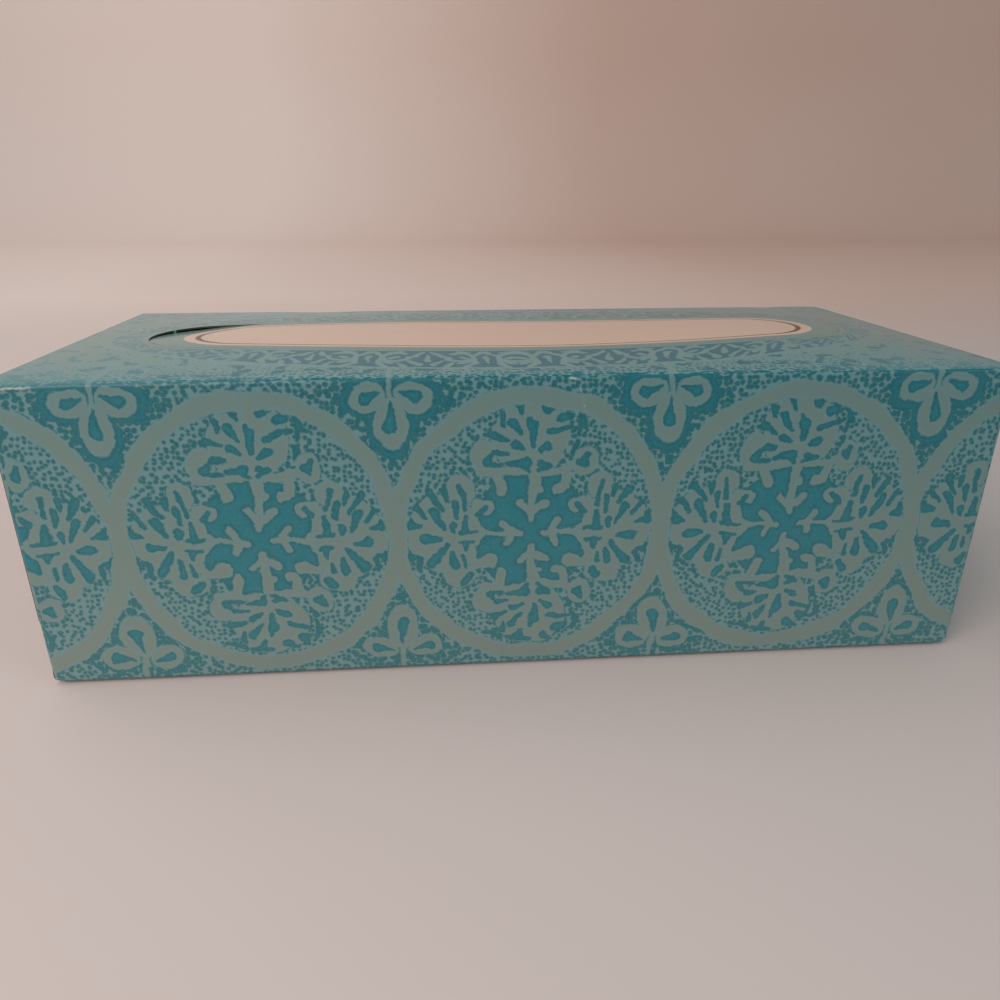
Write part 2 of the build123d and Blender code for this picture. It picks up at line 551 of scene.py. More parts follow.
def rounded_section(share):
    """A rounded rectangle by the share of its outline: straight runs and quarter circles in turn."""
    flat_y, flat_z = body_half[1:] - STACK_FOLD_RADIUS
    arc = STACK_FOLD_RADIUS * np.pi / 2
    stops = np.cumsum([0, flat_z, arc, 2 * flat_y, arc, 2 * flat_z, arc, 2 * flat_y, arc, flat_z])
    knot_y = np.array([1, 1, 1, -1, -1, -1, -1, 1, 1, 1]) * flat_y
    knot_z = np.array([0, 1, 1, 1, 1, -1, -1, -1, -1, 0]) * flat_z
    knot_turn = np.array([0, 0, 1, 1, 2, 2, 3, 3, 4, 4]) * np.pi / 2
    at = share * stops[-1]
    turn = np.interp(at, stops, knot_turn)
    y = np.interp(at, stops, knot_y) + STACK_FOLD_RADIUS * np.cos(turn)
    z = np.interp(at, stops, knot_z) + STACK_FOLD_RADIUS * np.sin(turn)
    return y, z, turn


share = np.linspace(0, 1, SECTION_POINTS + 1)
section_y, section_z, section_turn = rounded_section(share)
# Ridges: a raised cosine of the height, strongest where the section faces sideways.
ridge = FOLD_DEPTH * np.cos(section_turn) ** 2 * (0.5 + 0.5 * np.cos(2 * np.pi * section_z / FOLD_PITCH))
section_y = section_y - np.cos(section_turn) * ridge
leaf = TOP_LEAF * (np.sin(section_turn) > LEAF_FACING) * np.clip(section_y / FOLD_DEPTH, 0, 1)
section_z = section_z + leaf - TOP_LEAF / 2
draw_in = np.concatenate([np.linspace(0, 1, CAP_ROWS), np.ones(STACK_ROWS), np.linspace(1, 0, CAP_ROWS)])
run = np.concatenate([-np.ones(CAP_ROWS), np.linspace(-1, 1, STACK_ROWS), np.ones(CAP_ROWS)])
stack_x = np.broadcast_to(run[:, None] * stack_half[0], (len(run), len(share)))
stack_grid = np.stack([stack_x, draw_in[:, None] * section_y, draw_in[:, None] * section_z], -1)
stack_points = stack_grid.reshape(-1, 3) + stack_middle
index = np.arange(len(stack_points)).reshape(len(run), len(share))
pile = write_mesh("tissue_pile", stack_points, grid_quads(index).reshape(-1, 4))
print("stack open edges", merge_doubles(pile.data))
pile.data.shade_smooth()
pile.data.set_sharp_from_angle(angle=SHARP)
pile.data.materials.append(bpy.data.materials.new("tissue_paper"))
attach(pile, "root")
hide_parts("tissue_stack")

# %% [markdown]
# ## Sums in a shader
# The print is drawn by formulas: a shape is a distance, negative inside it, and shapes are joined by the
# lesser of two distances and cut by the greater. Wiring that by hand would take hundreds of lines, so a
# small class wraps a socket and lets Python's own operators add the Math nodes.

# %% A socket that can be used in sums
class Shade:
    """One value in a material. Arithmetic on it adds the Math node that does the sum."""

    def __init__(self, tree, socket=None):
        self.tree = tree
        self.socket = socket

    def node(self, kind, inputs, out=0, **settings):
        """Adds a node: its settings first, then the value or link of each socket. Gives one output."""
        node = self.tree.nodes.new("ShaderNode" + kind)
        for name, value in settings.items():
            setattr(node, name, value)
        for socket, value in inputs.items():
            if isinstance(value, Shade):
                self.tree.links.new(value.socket, node.inputs[socket])
            else:
                node.inputs[socket].default_value = value
        return Shade(self.tree, node.outputs[out])

    def maths(self, operation, *values):
        """Adds a Math node and gives its value."""
        return self.node("Math", dict(enumerate(values)), operation=operation)

    def vector(self, operation, *values):
        """Vector Math with this value first. Numbers, such as a length, come from its second output."""
        out = 1 if operation in ("LENGTH", "DISTANCE", "DOT_PRODUCT") else 0
        return self.node("VectorMath", dict(enumerate((self, *values))), out, operation=operation)

    def __add__(self, other):
        return self.maths("ADD", self, other)

    def __sub__(self, other):
        return self.maths("SUBTRACT", self, other)

    def __rsub__(self, other):
        return self.maths("SUBTRACT", other, self)

    def __mul__(self, other):
        return self.maths("MULTIPLY", self, other)

    def __truediv__(self, other):
        return self.maths("DIVIDE", self, other)

    def __abs__(self):
        return self.maths("ABSOLUTE", self)

    def __neg__(self):
        return self.maths("MULTIPLY", self, -1.0)

    __radd__ = __add__
    __rmul__ = __mul__

    def low(self, other):
        return self.maths("MINIMUM", self, other)

    def high(self, other):
        return self.maths("MAXIMUM", self, other)

    def above(self, other):
        return self.maths("GREATER_THAN", self, other)

    def clamp(self):
        return self.node("Clamp", {"Value": self})

    def mix(self, first, second):
        """A colour that goes from first to second as this value goes from 0 to 1."""
        return self.node("Mix", {0: self, 6: first, 7: second}, 2, data_type="RGBA")

# %% Shapes as distances, in millimetres
def stroke(at, start, stop, start_half, stop_half):
    """Distance to a tapered stroke: to the nearest point of its line, less the half-width there."""
    run = np.subtract(stop, start)
    pull = run / (run @ run)
    away = at.vector("SUBTRACT", (*start, 0))
    share = away.vector("DOT_PRODUCT", (*pull, 0)).clamp()
    nearest = share.node("VectorMath", {"Vector": (*run, 0), "Scale": share}, operation="SCALE")
    half = start_half if start_half == stop_half else share * (stop_half - start_half) + start_half
    return away.vector("DISTANCE", nearest) - half


def ellipse(at, centre, semi, tilt=0):
    """About the distance to an ellipse: squeeze it to a unit circle, then scale by its lesser half-axis."""
    squeeze = {"Vector": at, "Location": (*centre, 0), "Rotation": (0, 0, math.radians(tilt))}
    unit = at.node("Mapping", squeeze | {"Scale": (*semi, 1)}, vector_type="TEXTURE")
    return (unit.vector("LENGTH") - 1) * min(semi)


def join(shapes):
    """The nearest of several shapes."""
    return reduce(Shade.low, shapes)


def join_inside(shapes):
    """The part that lies inside all of several shapes."""
    return reduce(Shade.high, shapes)


def strokes(at, rows):
    """The nearest of several strokes."""
    return join([stroke(at, *row) for row in rows])


def flat_point(x, y):
    """A place from its two coordinates."""
    return x.node("CombineXYZ", {"X": x, "Y": y})


def split(at):
    """The two coordinates of a place."""
    return [at.node("SeparateXYZ", {0: at}, out) for out in (0, 1)]

# %% Inks and a material to start from
def paint(red, green, blue):
    """A colour as it is written for a screen, 0 to 255, turned into the linear values that shaders use."""
    screen = np.array([red, green, blue]) / 255
    linear = np.where(screen > 0.04045, ((screen + 0.055) / 1.055) ** 2.4, screen / 12.92)
    return (*linear.tolist(), 1.0)


SAGE = paint(91, 115, 113)
AQUA = paint(86, 121, 126)
BLUE = paint(12, 97, 111)
DEEP = paint(6, 79, 86)
LABEL = paint(200, 172, 157)
KEYLINE = paint(78, 58, 48)
# Colour of rubbed board, and of a painted highlight on the front's top fold.
WORN_AND_HIGHLIGHT = paint(186, 176, 168)
# Painted shade: bare board is darker than the pulp itself, for the shaded gaps where cut edges show.
BARE_BOARD_AND_SHADE = paint(84, 70, 58)
FIBRE = paint(62, 51, 42)


def new_finish(name, **constants):
    """The named material with its constant sockets set, and a value to start its sums from."""
    material = bpy.data.materials[name]
    material.use_nodes = True
    shader = material.node_tree.nodes["Principled BSDF"]
    for socket, value in constants.items():
        shader.inputs[socket.replace("_", " ")].default_value = value
    return shader, Shade(material.node_tree)


def feed(shader, **values):
    """Links values to a shader's sockets, by the sockets' names."""
    for socket, value in values.items():
        value.tree.links.new(value.socket, shader.inputs[socket.replace("_", " ")])

# %% [markdown]
# ## How the ink lies
# The print imitates a resist-dyed cloth: soft-edged light figures on blue, with stippled ground between.
# The drawn line was never ruler-straight, so the place on the blank is first pushed about a little by
# noise, in a slow wave and two fine ones. A picture of the print would be simpler, but it has a fixed
# sharpness. The dots are the cells of a Voronoi pattern: they aren't pushed, and only their size drifts.

# %% The place on the blank, the hand's wobble and the stipple
# Each wave of the hand: its size and its reach, in millimetres.
HAND_WAVES = [(11.0, 1.5), (1.7, 0.42), (0.7, 0.28)]
DOT_PITCH = 1.42
DOT_SCATTER = 0.82
DOT_RADIUS = 0.49
DOT_DRIFT = 0.34
DRIFT_SIZE = 6.0
DOT_ROUGH = 0.62
ROUGH_SIZE = 0.9
EDGE = 0.4


def blank_place(start):
    """The place on the printed blank in millimetres, from the sheet's own map."""
    uv = start.node("UVMap", {}, uv_map="blank")
    return uv.vector("MULTIPLY_ADD", (PRINT_SPAN,) * 3, (-PRINT_SPAN / 2, -PRINT_SPAN / 2, 0))


def noise(at, size, out=0, detail=2.0):
    """Noise with lumps of about `size` millimetres: a grey value, or a colour with out=1."""
    inputs = {"Vector": at, "Scale": 1 / size, "Detail": detail}
    return at.node("TexNoise", inputs, out, noise_dimensions="2D")


def wobbled(at):
    """The place plus a slow push and two fine ones, each as often one way as the other."""
    for size, reach in HAND_WAVES:
        push = noise(at, size, 1).vector("MULTIPLY_ADD", (2 * reach, 2 * reach, 0), (-reach, -reach, 0))
        at = at.vector("ADD", push)
    return at


def dots(at, pitch):
    """Distance to the nearest of a scatter of points that lie about a pitch apart."""
    inputs = {"Vector": at, "Scale": 1 / pitch, "Randomness": DOT_SCATTER}
    return at.node("TexVoronoi", inputs, voronoi_dimensions="2D") * pitch


def stipple(at, closer):
    """Distance to stippled dots. Their radius drifts slowly, is a little rough, and grows with `closer`."""
    drift = DOT_DRIFT * (noise(at, DRIFT_SIZE) - 0.5) + DOT_ROUGH * (noise(at, ROUGH_SIZE) - 0.5)
    return dots(at, DOT_PITCH) - DOT_RADIUS - drift - closer


def inked(distance):
    """How much ink covers a place: full inside a shape, none outside, with a soft edge."""
    return (0.5 - distance / EDGE).clamp()

# %% [markdown]
# ## The roundels
# The long walls carry a row of roundels: a broad light ring, and in it four sprays that grow from the
# middle over a blue cross, with stipple between. Side sprays are fans, upright sprays are small trees.
# Each is drawn once, along its axis, and comes back on the other side by mirroring its coordinates.
# Trefoils on blue fill the corners between the rings.

# %% Where a place lies in its roundel
ROUNDEL_PITCH = 67.5
ROUNDEL_START = 2.2
ROUNDEL_HEIGHT = 39.8
ROUNDEL_SQUEEZE = 0.94
RING_MIDDLE = 33.5
RING_HALF = 2.25
HEART = 15.4


def in_roundel(across, up):
    """Offsets from the nearest roundel's middle: across repeats at the pitch, up does not."""
    turn = (across - ROUNDEL_START) / ROUNDEL_PITCH
    return (turn - turn.maths("ROUND", turn)) * ROUNDEL_PITCH, up - ROUNDEL_HEIGHT


print("roundels on a long wall", round(LENGTH / ROUNDEL_PITCH, 1))

# %% A side spray: places are (along the axis from the middle, to its upper side)
# Each stroke: start, stop, half-width at the start, half-width at the stop.
SIDE_LIGHT = [
    ((2.9, -0.2), (6.0, 0.0), 0.75, 0.95),
    ((5.2, 0.6), (6.9, 2.9), 0.9, 1.0),
    ((5.2, -0.6), (6.0, -2.9), 0.9, 0.85),
    ((6.0, 0.0), (12.0, -0.2), 0.5, 0.8),
    ((10.8, 0.1), (14.2, 2.6), 0.5, 1.0),
    ((14.2, 2.6), (14.6, 7.4), 1.0, 1.3),
    ((14.4, 8.6), (11.2, 7.5), 1.2, 1.9),
    ((11.6, -0.7), (14.3, -3.6), 0.6, 0.9),
    ((14.3, -3.6), (14.6, -8.6), 0.8, 1.2),
    ((13.8, -8.9), (10.0, -8.1), 1.1, 2.0),
]
SIDE_FAN = [((21.8, 0.0), (9.4, 11.0), 0), ((17.5, 12.2), (3.4, 3.6), 0), ((18.5, -11.5), (4.6, 3.4), 0)]
SIDE_BLUE = [
    ((16.4, 1.2), (16.6, 5.4), 1.0, 0.4),
    ((13.4, 0.6), (18.0, 0.7), 0.25, 0.4),
    ((16.2, -2.9), (16.4, -4.9), 1.0, 0.3),
    ((14.2, -2.5), (18.0, -2.3), 0.3, 0.3),
    ((20.0, 2.8), (19.9, 1.2), 0.95, 0.45),
    ((19.9, -5.5), (20.0, -8.9), 0.5, 1.0),
    ((22.2, 1.6), (24.5, 6.6), 0.3, 1.0),
    ((21.2, -3.2), (25.2, -8.6), 0.45, 1.15),
    ((27.8, 2.2), (30.0, 2.7), 0.35, 1.05),
    ((30.2, 4.6), (30.0, 2.5), 0.3, 0.9),
    ((28.4, -5.8), (30.2, -5.9), 0.4, 0.8),
    ((30.4, -4.6), (30.6, -7.6), 0.35, 0.4),
    ((23.2, -1.7), (26.3, -1.3), 0.55, 1.2),
    ((17.6, 11.0), (17.8, 12.9), 0.45, 0.5),
    ((16.0, -11.5), (17.2, -13.2), 0.8, 1.0),
    ((11.7, 7.7), (13.4, 6.0), 0.5, 0.7),
    ((12.6, -4.2), (13.2, -6.6), 0.7, 0.5),
    ((17.6, 12.4), (17.0, 7.4), 0.35, 0.45),
    ((17.3, -6.6), (17.2, -9.0), 0.3, 0.5),
    ((28.8, 7.6), (26.4, 4.6), 0.6, 0.4),
    ((25.4, 11.4), (22.6, 7.2), 0.9, 0.3),
    ((19.6, 9.0), (19.2, 5.2), 0.75, 0.35),
    ((21.6, 11.6), (21.4, 9.4), 0.7, 0.35),
    ((27.8, -6.6), (28.4, -9.4), 0.6, 0.4),
]
print("side spray", len(SIDE_LIGHT), "light strokes and", len(SIDE_BLUE), "blue cells")

# %% An upright spray: places are (up the axis from the middle, to its right)
UPRIGHT_LIGHT = [
    ((3.7, 0.0), (6.0, 0.0), 0.8, 1.1),
    ((5.6, -0.3), (8.2, -2.5), 0.8, 0.8),
    ((5.8, 0.5), (7.9, 3.5), 1.0, 1.1),
    ((6.0, 0.0), (16.0, 0.7), 0.8, 1.6),
    ((11.4, 1.2), (11.6, 2.0), 0.8, 0.9),
    ((15.8, 1.5), (16.4, 8.4), 1.0, 1.1),
    ((15.9, 8.8), (12.0, 8.2), 1.3, 1.2),
    ((11.6, 7.6), (11.4, 6.2), 1.2, 1.3),
    ((16.4, 8.4), (17.4, 11.2), 1.1, 1.2),
    ((16.4, -1.0), (16.2, -12.8), 0.9, 1.1),
    ((15.6, -8.2), (11.6, -7.0), 1.3, 1.4),
]
UPRIGHT_FAN = [((25.5, 0.0), (10.0, 9.6), 0), ((18.6, 13.4), (4.0, 3.1), 8), ((20.5, -11.5), (4.4, 3.4), 0)]
UPRIGHT_BLUE = [
    ((16.4, 1.4), (18.2, 4.4), 0.35, 0.6),
    ((18.4, 2.0), (18.1, 4.6), 0.7, 0.35),
    ((16.4, -0.7), (18.6, -1.9), 0.3, 1.1),
    ((18.7, -1.4), (18.5, -5.6), 1.2, 0.4),
    ((18.0, -7.0), (18.0, -9.4), 0.45, 0.5),
    ((18.8, -10.7), (20.4, -9.6), 1.0, 0.5),
    ((21.6, 2.5), (22.8, 4.6), 0.5, 1.0),
    ((23.6, -4.3), (22.5, -2.3), 0.95, 0.4),
    ((22.9, 0.7), (27.6, 0.6), 0.5, 1.25),
    ((27.6, 0.2), (29.8, -0.2), 0.9, 0.3),
    ((26.2, 4.7), (27.3, 9.8), 0.7, 0.45),
    ((29.0, -4.8), (25.8, -2.5), 1.05, 0.35),
    ((32.4, 4.0), (33.7, 6.2), 1.1, 0.4),
    ((33.5, -5.6), (34.4, -0.4), 0.5, 0.6),
    ((33.4, -3.0), (31.4, -2.2), 1.0, 0.4),
    ((30.2, 7.4), (30.4, 9.0), 1.2, 0.9),
    ((33.0, -7.4), (31.6, -12.0), 0.6, 0.4),
    ((26.2, -9.8), (24.6, -6.2), 0.9, 0.3),
    ((30.8, -7.2), (28.2, -7.0), 0.75, 0.3),
    ((21.4, -8.6), (21.0, -5.6), 0.7, 0.3),
    ((31.0, 11.4), (27.4, 13.0), 0.5, 0.4),
    ((18.6, 13.2), (20.6, 14.0), 1.0, 0.5),
    ((17.6, 13.6), (18.6, 12.4), 0.4, 0.8),
    ((20.6, 10.4), (23.4, 11.2), 0.3, 0.5),
    ((25.0, 11.4), (29.5, 12.2), 0.2, 0.6),
]
CELL_GROWTH = 0.22


def spray(at, light, fan, blue):
    """Light strokes and a light fan with cells cut out of them, and the blue cells themselves."""
    cells = strokes(at, blue) - CELL_GROWTH
    leaf = join([ellipse(at, *part) for part in fan])
    return strokes(at, light).low(leaf).high(-cells), cells


print("upright spray", len(UPRIGHT_LIGHT), "light strokes and", len(UPRIGHT_BLUE), "blue cells")

# %% Trefoils between the rings
TREFOIL_TOP = HEIGHT
TREFOIL_FOOT = 2.6
TREFOIL_REACH = 5.0
# Ovals: middle, half-axes and tilt. Strokes: as for the sprays.
LOOP = ((5.6, 4.6), (4.7, 3.5), 20)
PETAL = ((0, 11), (4.1, 6.4))
COMMA = ((2.6, 3.3), (6.4, 4.6), 0.4, 1.5)
SEED = ((0, 6.2), (0, 11.8), 0.35, 1.65)
STEM = ((0, -9), (0, 5), 0.7, 0.7)


def trefoil(aside, deep):
    """A light trefoil by distance from its middle line and depth from the fold, and its outside alone."""
    at = flat_point(aside, deep)
    loop = ellipse(at, *LOOP)
    petal = ellipse(at, *PETAL)
    light = join([stroke(at, *STEM), loop.high(-stroke(at, *COMMA)), petal.high(-stroke(at, *SEED))])
    return light, join([loop, petal])


print("trefoils every", ROUNDEL_PITCH, "mm")

# %% The whole wall: rings, sprays, trefoils and stipple
SOUTH_SQUEEZE = 1.08
TALL_DOTS = 0.0005
FIGURE_REACH = 1.5
FIGURE_DOTS = 0.24
OUTSIDE_DOTS = 0.12
HALO_DOTS = 0.3
HALO = 0.6
HALO_DRIFT = 2.2
HALO_SIZE = 3.0
HALO_FOOT = 2.0


def roundel_wall(at):
    """Distance to the blue ink of a wall, and to the light figures that stand clear of it."""
    moved = wobbled(at)
    across, up = split(moved)
    x, y = in_roundel(across, up)
    reach = flat_point(x, y * ROUNDEL_SQUEEZE).vector("LENGTH")
    ring = abs(reach - RING_MIDDLE) - RING_HALF
    wide, tall = abs(x), abs(y)
    side, side_cells = spray(flat_point(wide, y), SIDE_LIGHT, SIDE_FAN, SIDE_BLUE)
    tall = tall.high(-SOUTH_SQUEEZE * y)
    upright, upright_cells = spray(flat_point(tall, x), UPRIGHT_LIGHT, UPRIGHT_FAN, UPRIGHT_BLUE)
    middle = (TREFOIL_TOP + TREFOIL_FOOT) / 2
    deep = middle - TREFOIL_FOOT - abs(up - middle)
    leaf, leaf_outside = trefoil(ROUNDEL_PITCH / 2 - wide, deep)
    near_leaf = (1 - leaf_outside / TREFOIL_REACH).clamp()
    low = (middle - up).above(0.0)
    halo = leaf_outside - HALO - HALO_DRIFT * noise(at, HALO_SIZE) + HALO_FOOT * low
    figures = side.low(upright)
    light = join([ring, figures, leaf])
    near_figure = (1 - figures / FIGURE_REACH).clamp()
    closer = OUTSIDE_DOTS * reach.above(RING_MIDDLE) + HALO_DOTS * near_leaf + FIGURE_DOTS * near_figure
    closer = closer + TALL_DOTS * y
    ink = join([stipple(at, closer), halo, reach - HEART, side_cells, upright_cells])
    return ink.high(-light), light

# %% [markdown]
# ## The printed walls
# The board is a clay-coated carton board with a satin varnish, so it reflects a soft sheen at a low
# angle. Ink goes on as colour only; a faint bump is the board's own fibre. Creases are rubbed paler.
# The print is painted a little paler and warmer towards the foot: painted warm light thrown up from the
# floor. The light figures could be a second ink, but on the real board they are where the blue was left
# out, so they are the ground here too.

# %% Varnished board: wear along the folds, fibre and sheen
VARNISH = {"Specular_IOR_Level": 0.35}
GLOSS = 0.36
FOLD_WEAR = 0.4
FOLD_PALE = 0.1
GRAIN_SIZE = 0.7
PATCH_SIZE = 9.0
PATCH_SLOPE = 6.0
PATCH_DULL = 0.12
RUB_DULL = 0.2
FIBRE_SIZE = 0.5
FIBRE_STRENGTH = 0.12
FIBRE_HEIGHT = 0.05 * MM


def fold_gap(start):
    """Distance to the nearest fold in millimetres, from the sheet's own attribute."""
    return start.node("Attribute", {}, 2, attribute_name="fold_gap")


def varnished(shader, at, colour, worn_and_highlight=None, gloss=GLOSS):
    """Rubs the folds pale in patches, adds any other rubbed places and painted highlights, and gives the
    board fibre and sheen.
    """
    grain = noise(at, GRAIN_SIZE)
    patchy = noise(at, PATCH_SIZE)
    patches = ((patchy - 0.5) * PATCH_SLOPE).clamp()
    rub = inked(fold_gap(at) + EDGE / 2 - FOLD_WEAR * patches * 2 * grain) * FOLD_PALE
    rub = rub if worn_and_highlight is None else rub.high(worn_and_highlight)
    feed(shader, Base_Color=rub.clamp().mix(colour, WORN_AND_HIGHLIGHT))
    feed(shader, Roughness=gloss + PATCH_DULL * patchy + RUB_DULL * rub)
    fibre = {"Height": noise(at, FIBRE_SIZE), "Strength": FIBRE_STRENGTH, "Distance": FIBRE_HEIGHT}
    feed(shader, Normal=at.node("Bump", fibre))

# %% Blue ink on the light ground
SAGE_DEPTH = 0.9
INK_RIM = 1.0
INK_LEAST = 0.88
INK_SPREAD = 0.2
INK_SIZE = 3.0
SPECK_PITCH = 1.3
SPECK_RADIUS = 0.22
SPECK_SIZE = 2.0
SPECK_PALE = 0.3


def printed(at, ink, light, ink_strength=1.0, sage=SAGE, aqua=AQUA, deep=DEEP):
    """Sage figures with aqua edges, and blue ink, darkest at its own edges, as dense as `ink_strength`,
    which callers lower for painted light.
    """
    ground = (1 + light / SAGE_DEPTH).clamp().mix(sage, aqua)
    blue = (1 + ink / INK_RIM).clamp().mix(BLUE, deep)
    specks = inked(dots(at, SPECK_PITCH) - SPECK_RADIUS * noise(at, SPECK_SIZE))
    cover = ink_strength * (INK_LEAST + INK_SPREAD * noise(at, INK_SIZE)) - SPECK_PALE * specks
    return (inked(ink) * cover.clamp()).mix(ground, blue)


WHITE = (1.0, 1.0, 1.0, 1.0)
# Painted light: warm light thrown up from the floor, painted in as a paler, warmer foot on every wall.
FOOT_FLOOR_LIGHT_TINT = (1.68, 1.26, 1.18, 1.0)
FOOT_FLOOR_LIGHT_FADE = 0.22


def wall_colour(at):
    """The roundel print, with painted warm floor light: paler and warmer towards the foot of the wall."""
    ink, light = roundel_wall(at)
    # Painted floor light: the lower the place on the wall, the more of it.
    low = (1 - split(at)[1] / HEIGHT).clamp()
    return printed(at, ink, light, 1 - FOOT_FLOOR_LIGHT_FADE * low).vector("MULTIPLY", low.mix(WHITE, FOOT_FLOOR_LIGHT_TINT))


shader, start = new_finish("side_print", **VARNISH)
place = blank_place(start)
varnished(shader, place, wall_colour(place))
print("side print nodes", len(bpy.data.materials["side_print"].node_tree.nodes))

# %% The front wall has a few marks of its own
# Scuffs, and in the first row a painted highlight along the top fold at the left: start, stop and
# half-widths on the front wall.
FRONT_SCUFFS_AND_HIGHLIGHT = [
    ((-122.0, 79.0), (-112.5, 79.3), 0.4, 0.3),
    ((11.6, 79.7), (12.5, 79.5), 0.6, 0.4),
    ((13.6, 77.4), (15.2, 70.8), 0.06, 0.02),
    ((-124.0, 0.4), (-121.6, 0.6), 1.1, 0.5),
    ((124.0, 0.4), (121.8, 0.6), 1.1, 0.5),
]
RAGGED = 0.9
RAGGED_SIZE = 0.8
RAGGED_LEVEL = 0.4
SCUFF_AND_HIGHLIGHT_PALE = 0.55
shader, start = new_finish("front_print", **VARNISH)
place = blank_place(start)
scuffs_and_highlight = strokes(place, FRONT_SCUFFS_AND_HIGHLIGHT) + RAGGED * (noise(place, RAGGED_SIZE) - RAGGED_LEVEL)
varnished(shader, place, wall_colour(place), inked(scuffs_and_highlight) * SCUFF_AND_HIGHLIGHT_PALE)
print("scuffs on the front", len(FRONT_SCUFFS_AND_HIGHLIGHT))

# %% [markdown]
# ## The printed top
# The tear-out carries a bare label panel: a warm white oval with a thin dark keyline. Round it lie a plain
# border, a band of scrolls on blue, a light line, and stipple with flecks out to the folds, where only the
# stems of the trefoils come over from the walls. A straight strip of scrolls could be bent round the oval,
# but the print is drawn on the flat blank, so a place is measured along the four-arc oval and across the
# band instead. Seen low, the varnish mirrors the backdrop, so the top's own sheen is weak and smooth. The
# top's haze is painted in instead: paler inks, and ink painted fainter towards the ends and the back.

# %% Distance to the oval, and length along it
def arc_oval(x, y, length, width, end_radius):
    """Distance to a four-arc oval: to an end arc within the lean of its long axis, else to a side arc."""
    end_at, side_at, radius, tilt = four_arcs(length, width, end_radius)
    wide, tall = abs(x), abs(y)
    to_end = flat_point(wide - end_at, tall).vector("LENGTH") - end_radius
    to_side = flat_point(wide, tall + side_at).vector("LENGTH") - radius
    at_end = ((wide - end_at) * math.sin(tilt) - tall * math.cos(tilt)).above(0)
    return to_side + at_end * (to_end - to_side)


def along_oval(x, y, length, width, end_radius, out):
    """Length along a line `out` outside a four-arc oval, from the middle of its side towards either end.

    On the side it is the side arc's radius times the turn about its centre. Past the lean it goes on from
    there with the end arc's radius times the turn about that arc's centre.
    """
    end_at, side_at, radius, tilt = four_arcs(length, width, end_radius)
    wide, tall = abs(x), abs(y)
    side_turn = x.maths("ARCTAN2", wide, tall + side_at)
    end_turn = x.maths("ARCTAN2", wide - end_at, tall)
    corner = math.pi / 2 - tilt
    return (radius + out) * side_turn.low(corner) + (end_radius + out) * (end_turn - corner).high(0.0)

# %% One repeat of the scrolls
SCROLL_PITCH = 15.0
SCROLL_DEPTH = 14.3
# Each leaf or stem: start, stop, half-width at the start, half-width at the stop.
SCROLL_STROKES = [
    ((3.8, 8.0), (4.2, 3.0), 0.8, 0.9),
    ((4.2, 3.0), (2.4, 0.8), 0.9, 0.7),
    ((0.5, 8.3), (1.6, 7.4), 0.8, 0.8),
    ((4.2, 5.0), (1.0, 3.4), 0.35, 0.9),
    ((4.4, 9.5), (6.8, 12.6), 0.5, 1.0),
    ((-3.2, 5.4), (-5.6, 2.2), 0.4, 1.0),
    ((-4.4, 9.0), (-6.6, 12.8), 0.9, 0.4),
    ((0.2, 13.2), (3.4, 12.6), 0.8, 0.4),
    ((-2.0, 1.2), (-0.6, 3.8), 0.9, 0.3),
    ((7.5, 3.4), (7.5, 8.6), 0.2, 1.0),
    ((-7.5, 5.2), (-7.5, 10.4), 1.0, 0.2),
]
CURL_AT = (0.5, 8.5)
CURL_RADIUS = 3.4
CURL_HALF = 0.75
CURL_GAP = (CURL_AT, (-4.0, 10.5), 0.2, 1.3)


def scrolls(along, share):
    """Light curls that fill the band: an open ring, a stem and leaves, mirrored in every other repeat."""
    turn = along / SCROLL_PITCH
    cell = turn.maths("ROUND", turn)
    flip = 1 - 2 * turn.maths("PINGPONG", cell, 1.0)
    at = flat_point((turn - cell) * SCROLL_PITCH * flip, share * SCROLL_DEPTH)
    curl = abs(at.vector("DISTANCE", (*CURL_AT, 0)) - CURL_RADIUS) - CURL_HALF
    return curl.high(-stroke(at, *CURL_GAP)).low(strokes(at, SCROLL_STROKES))


print("scroll strokes", len(SCROLL_STROKES))

# %% The colours of the top
# Each oval: its length, its width and the radius of its ends.
LABEL_OVAL = (187.0, 46.0, 16.5)
KEYLINE_OUTSIDE = (180.6, 42.6, 14.8)
KEYLINE_INSIDE = (177.4, 41.4, 14.2)
LABEL_SHIFT = 0.65
BORDER = 2.0
# The band ends at an ellipse with these half-axes, under a light line.
BAND_SEMI = (114.0, 48.0)
BAND_LINE = 0.7
SCROLL_OUT = 9.0
SCROLL_LEAN = 18.0
STEM_HALF = 0.8
STRIP_DOTS = 0.14
FOLD_DOTS = 0.03
CREASE_DOTS = 0.1
# Painted shade: the top is painted darker over its creases.
CREASE_PAINTED_SHADE = (0.86, 0.8, 0.77, 1.0)
FLECK_SIZE = 5.0
FLECK_LEVEL = 0.6
FLECK_SLOPE = 8.0
# The top's sage and aqua are paler than the walls', with the varnish's sheen painted into them. The ink is
# strongest in front and is painted fainter towards the ends and the back: painted glare.
COVER_SAGE_WITH_SHEEN = paint(105, 134, 131)
COVER_AQUA_WITH_SHEEN = paint(101, 141, 145)
COVER_INK_STRENGTH = 0.95
COVER_GLARE_FADE = 0.5
GLARE_FADE_START = 60.0
GLARE_FADE_RUN = 60.0


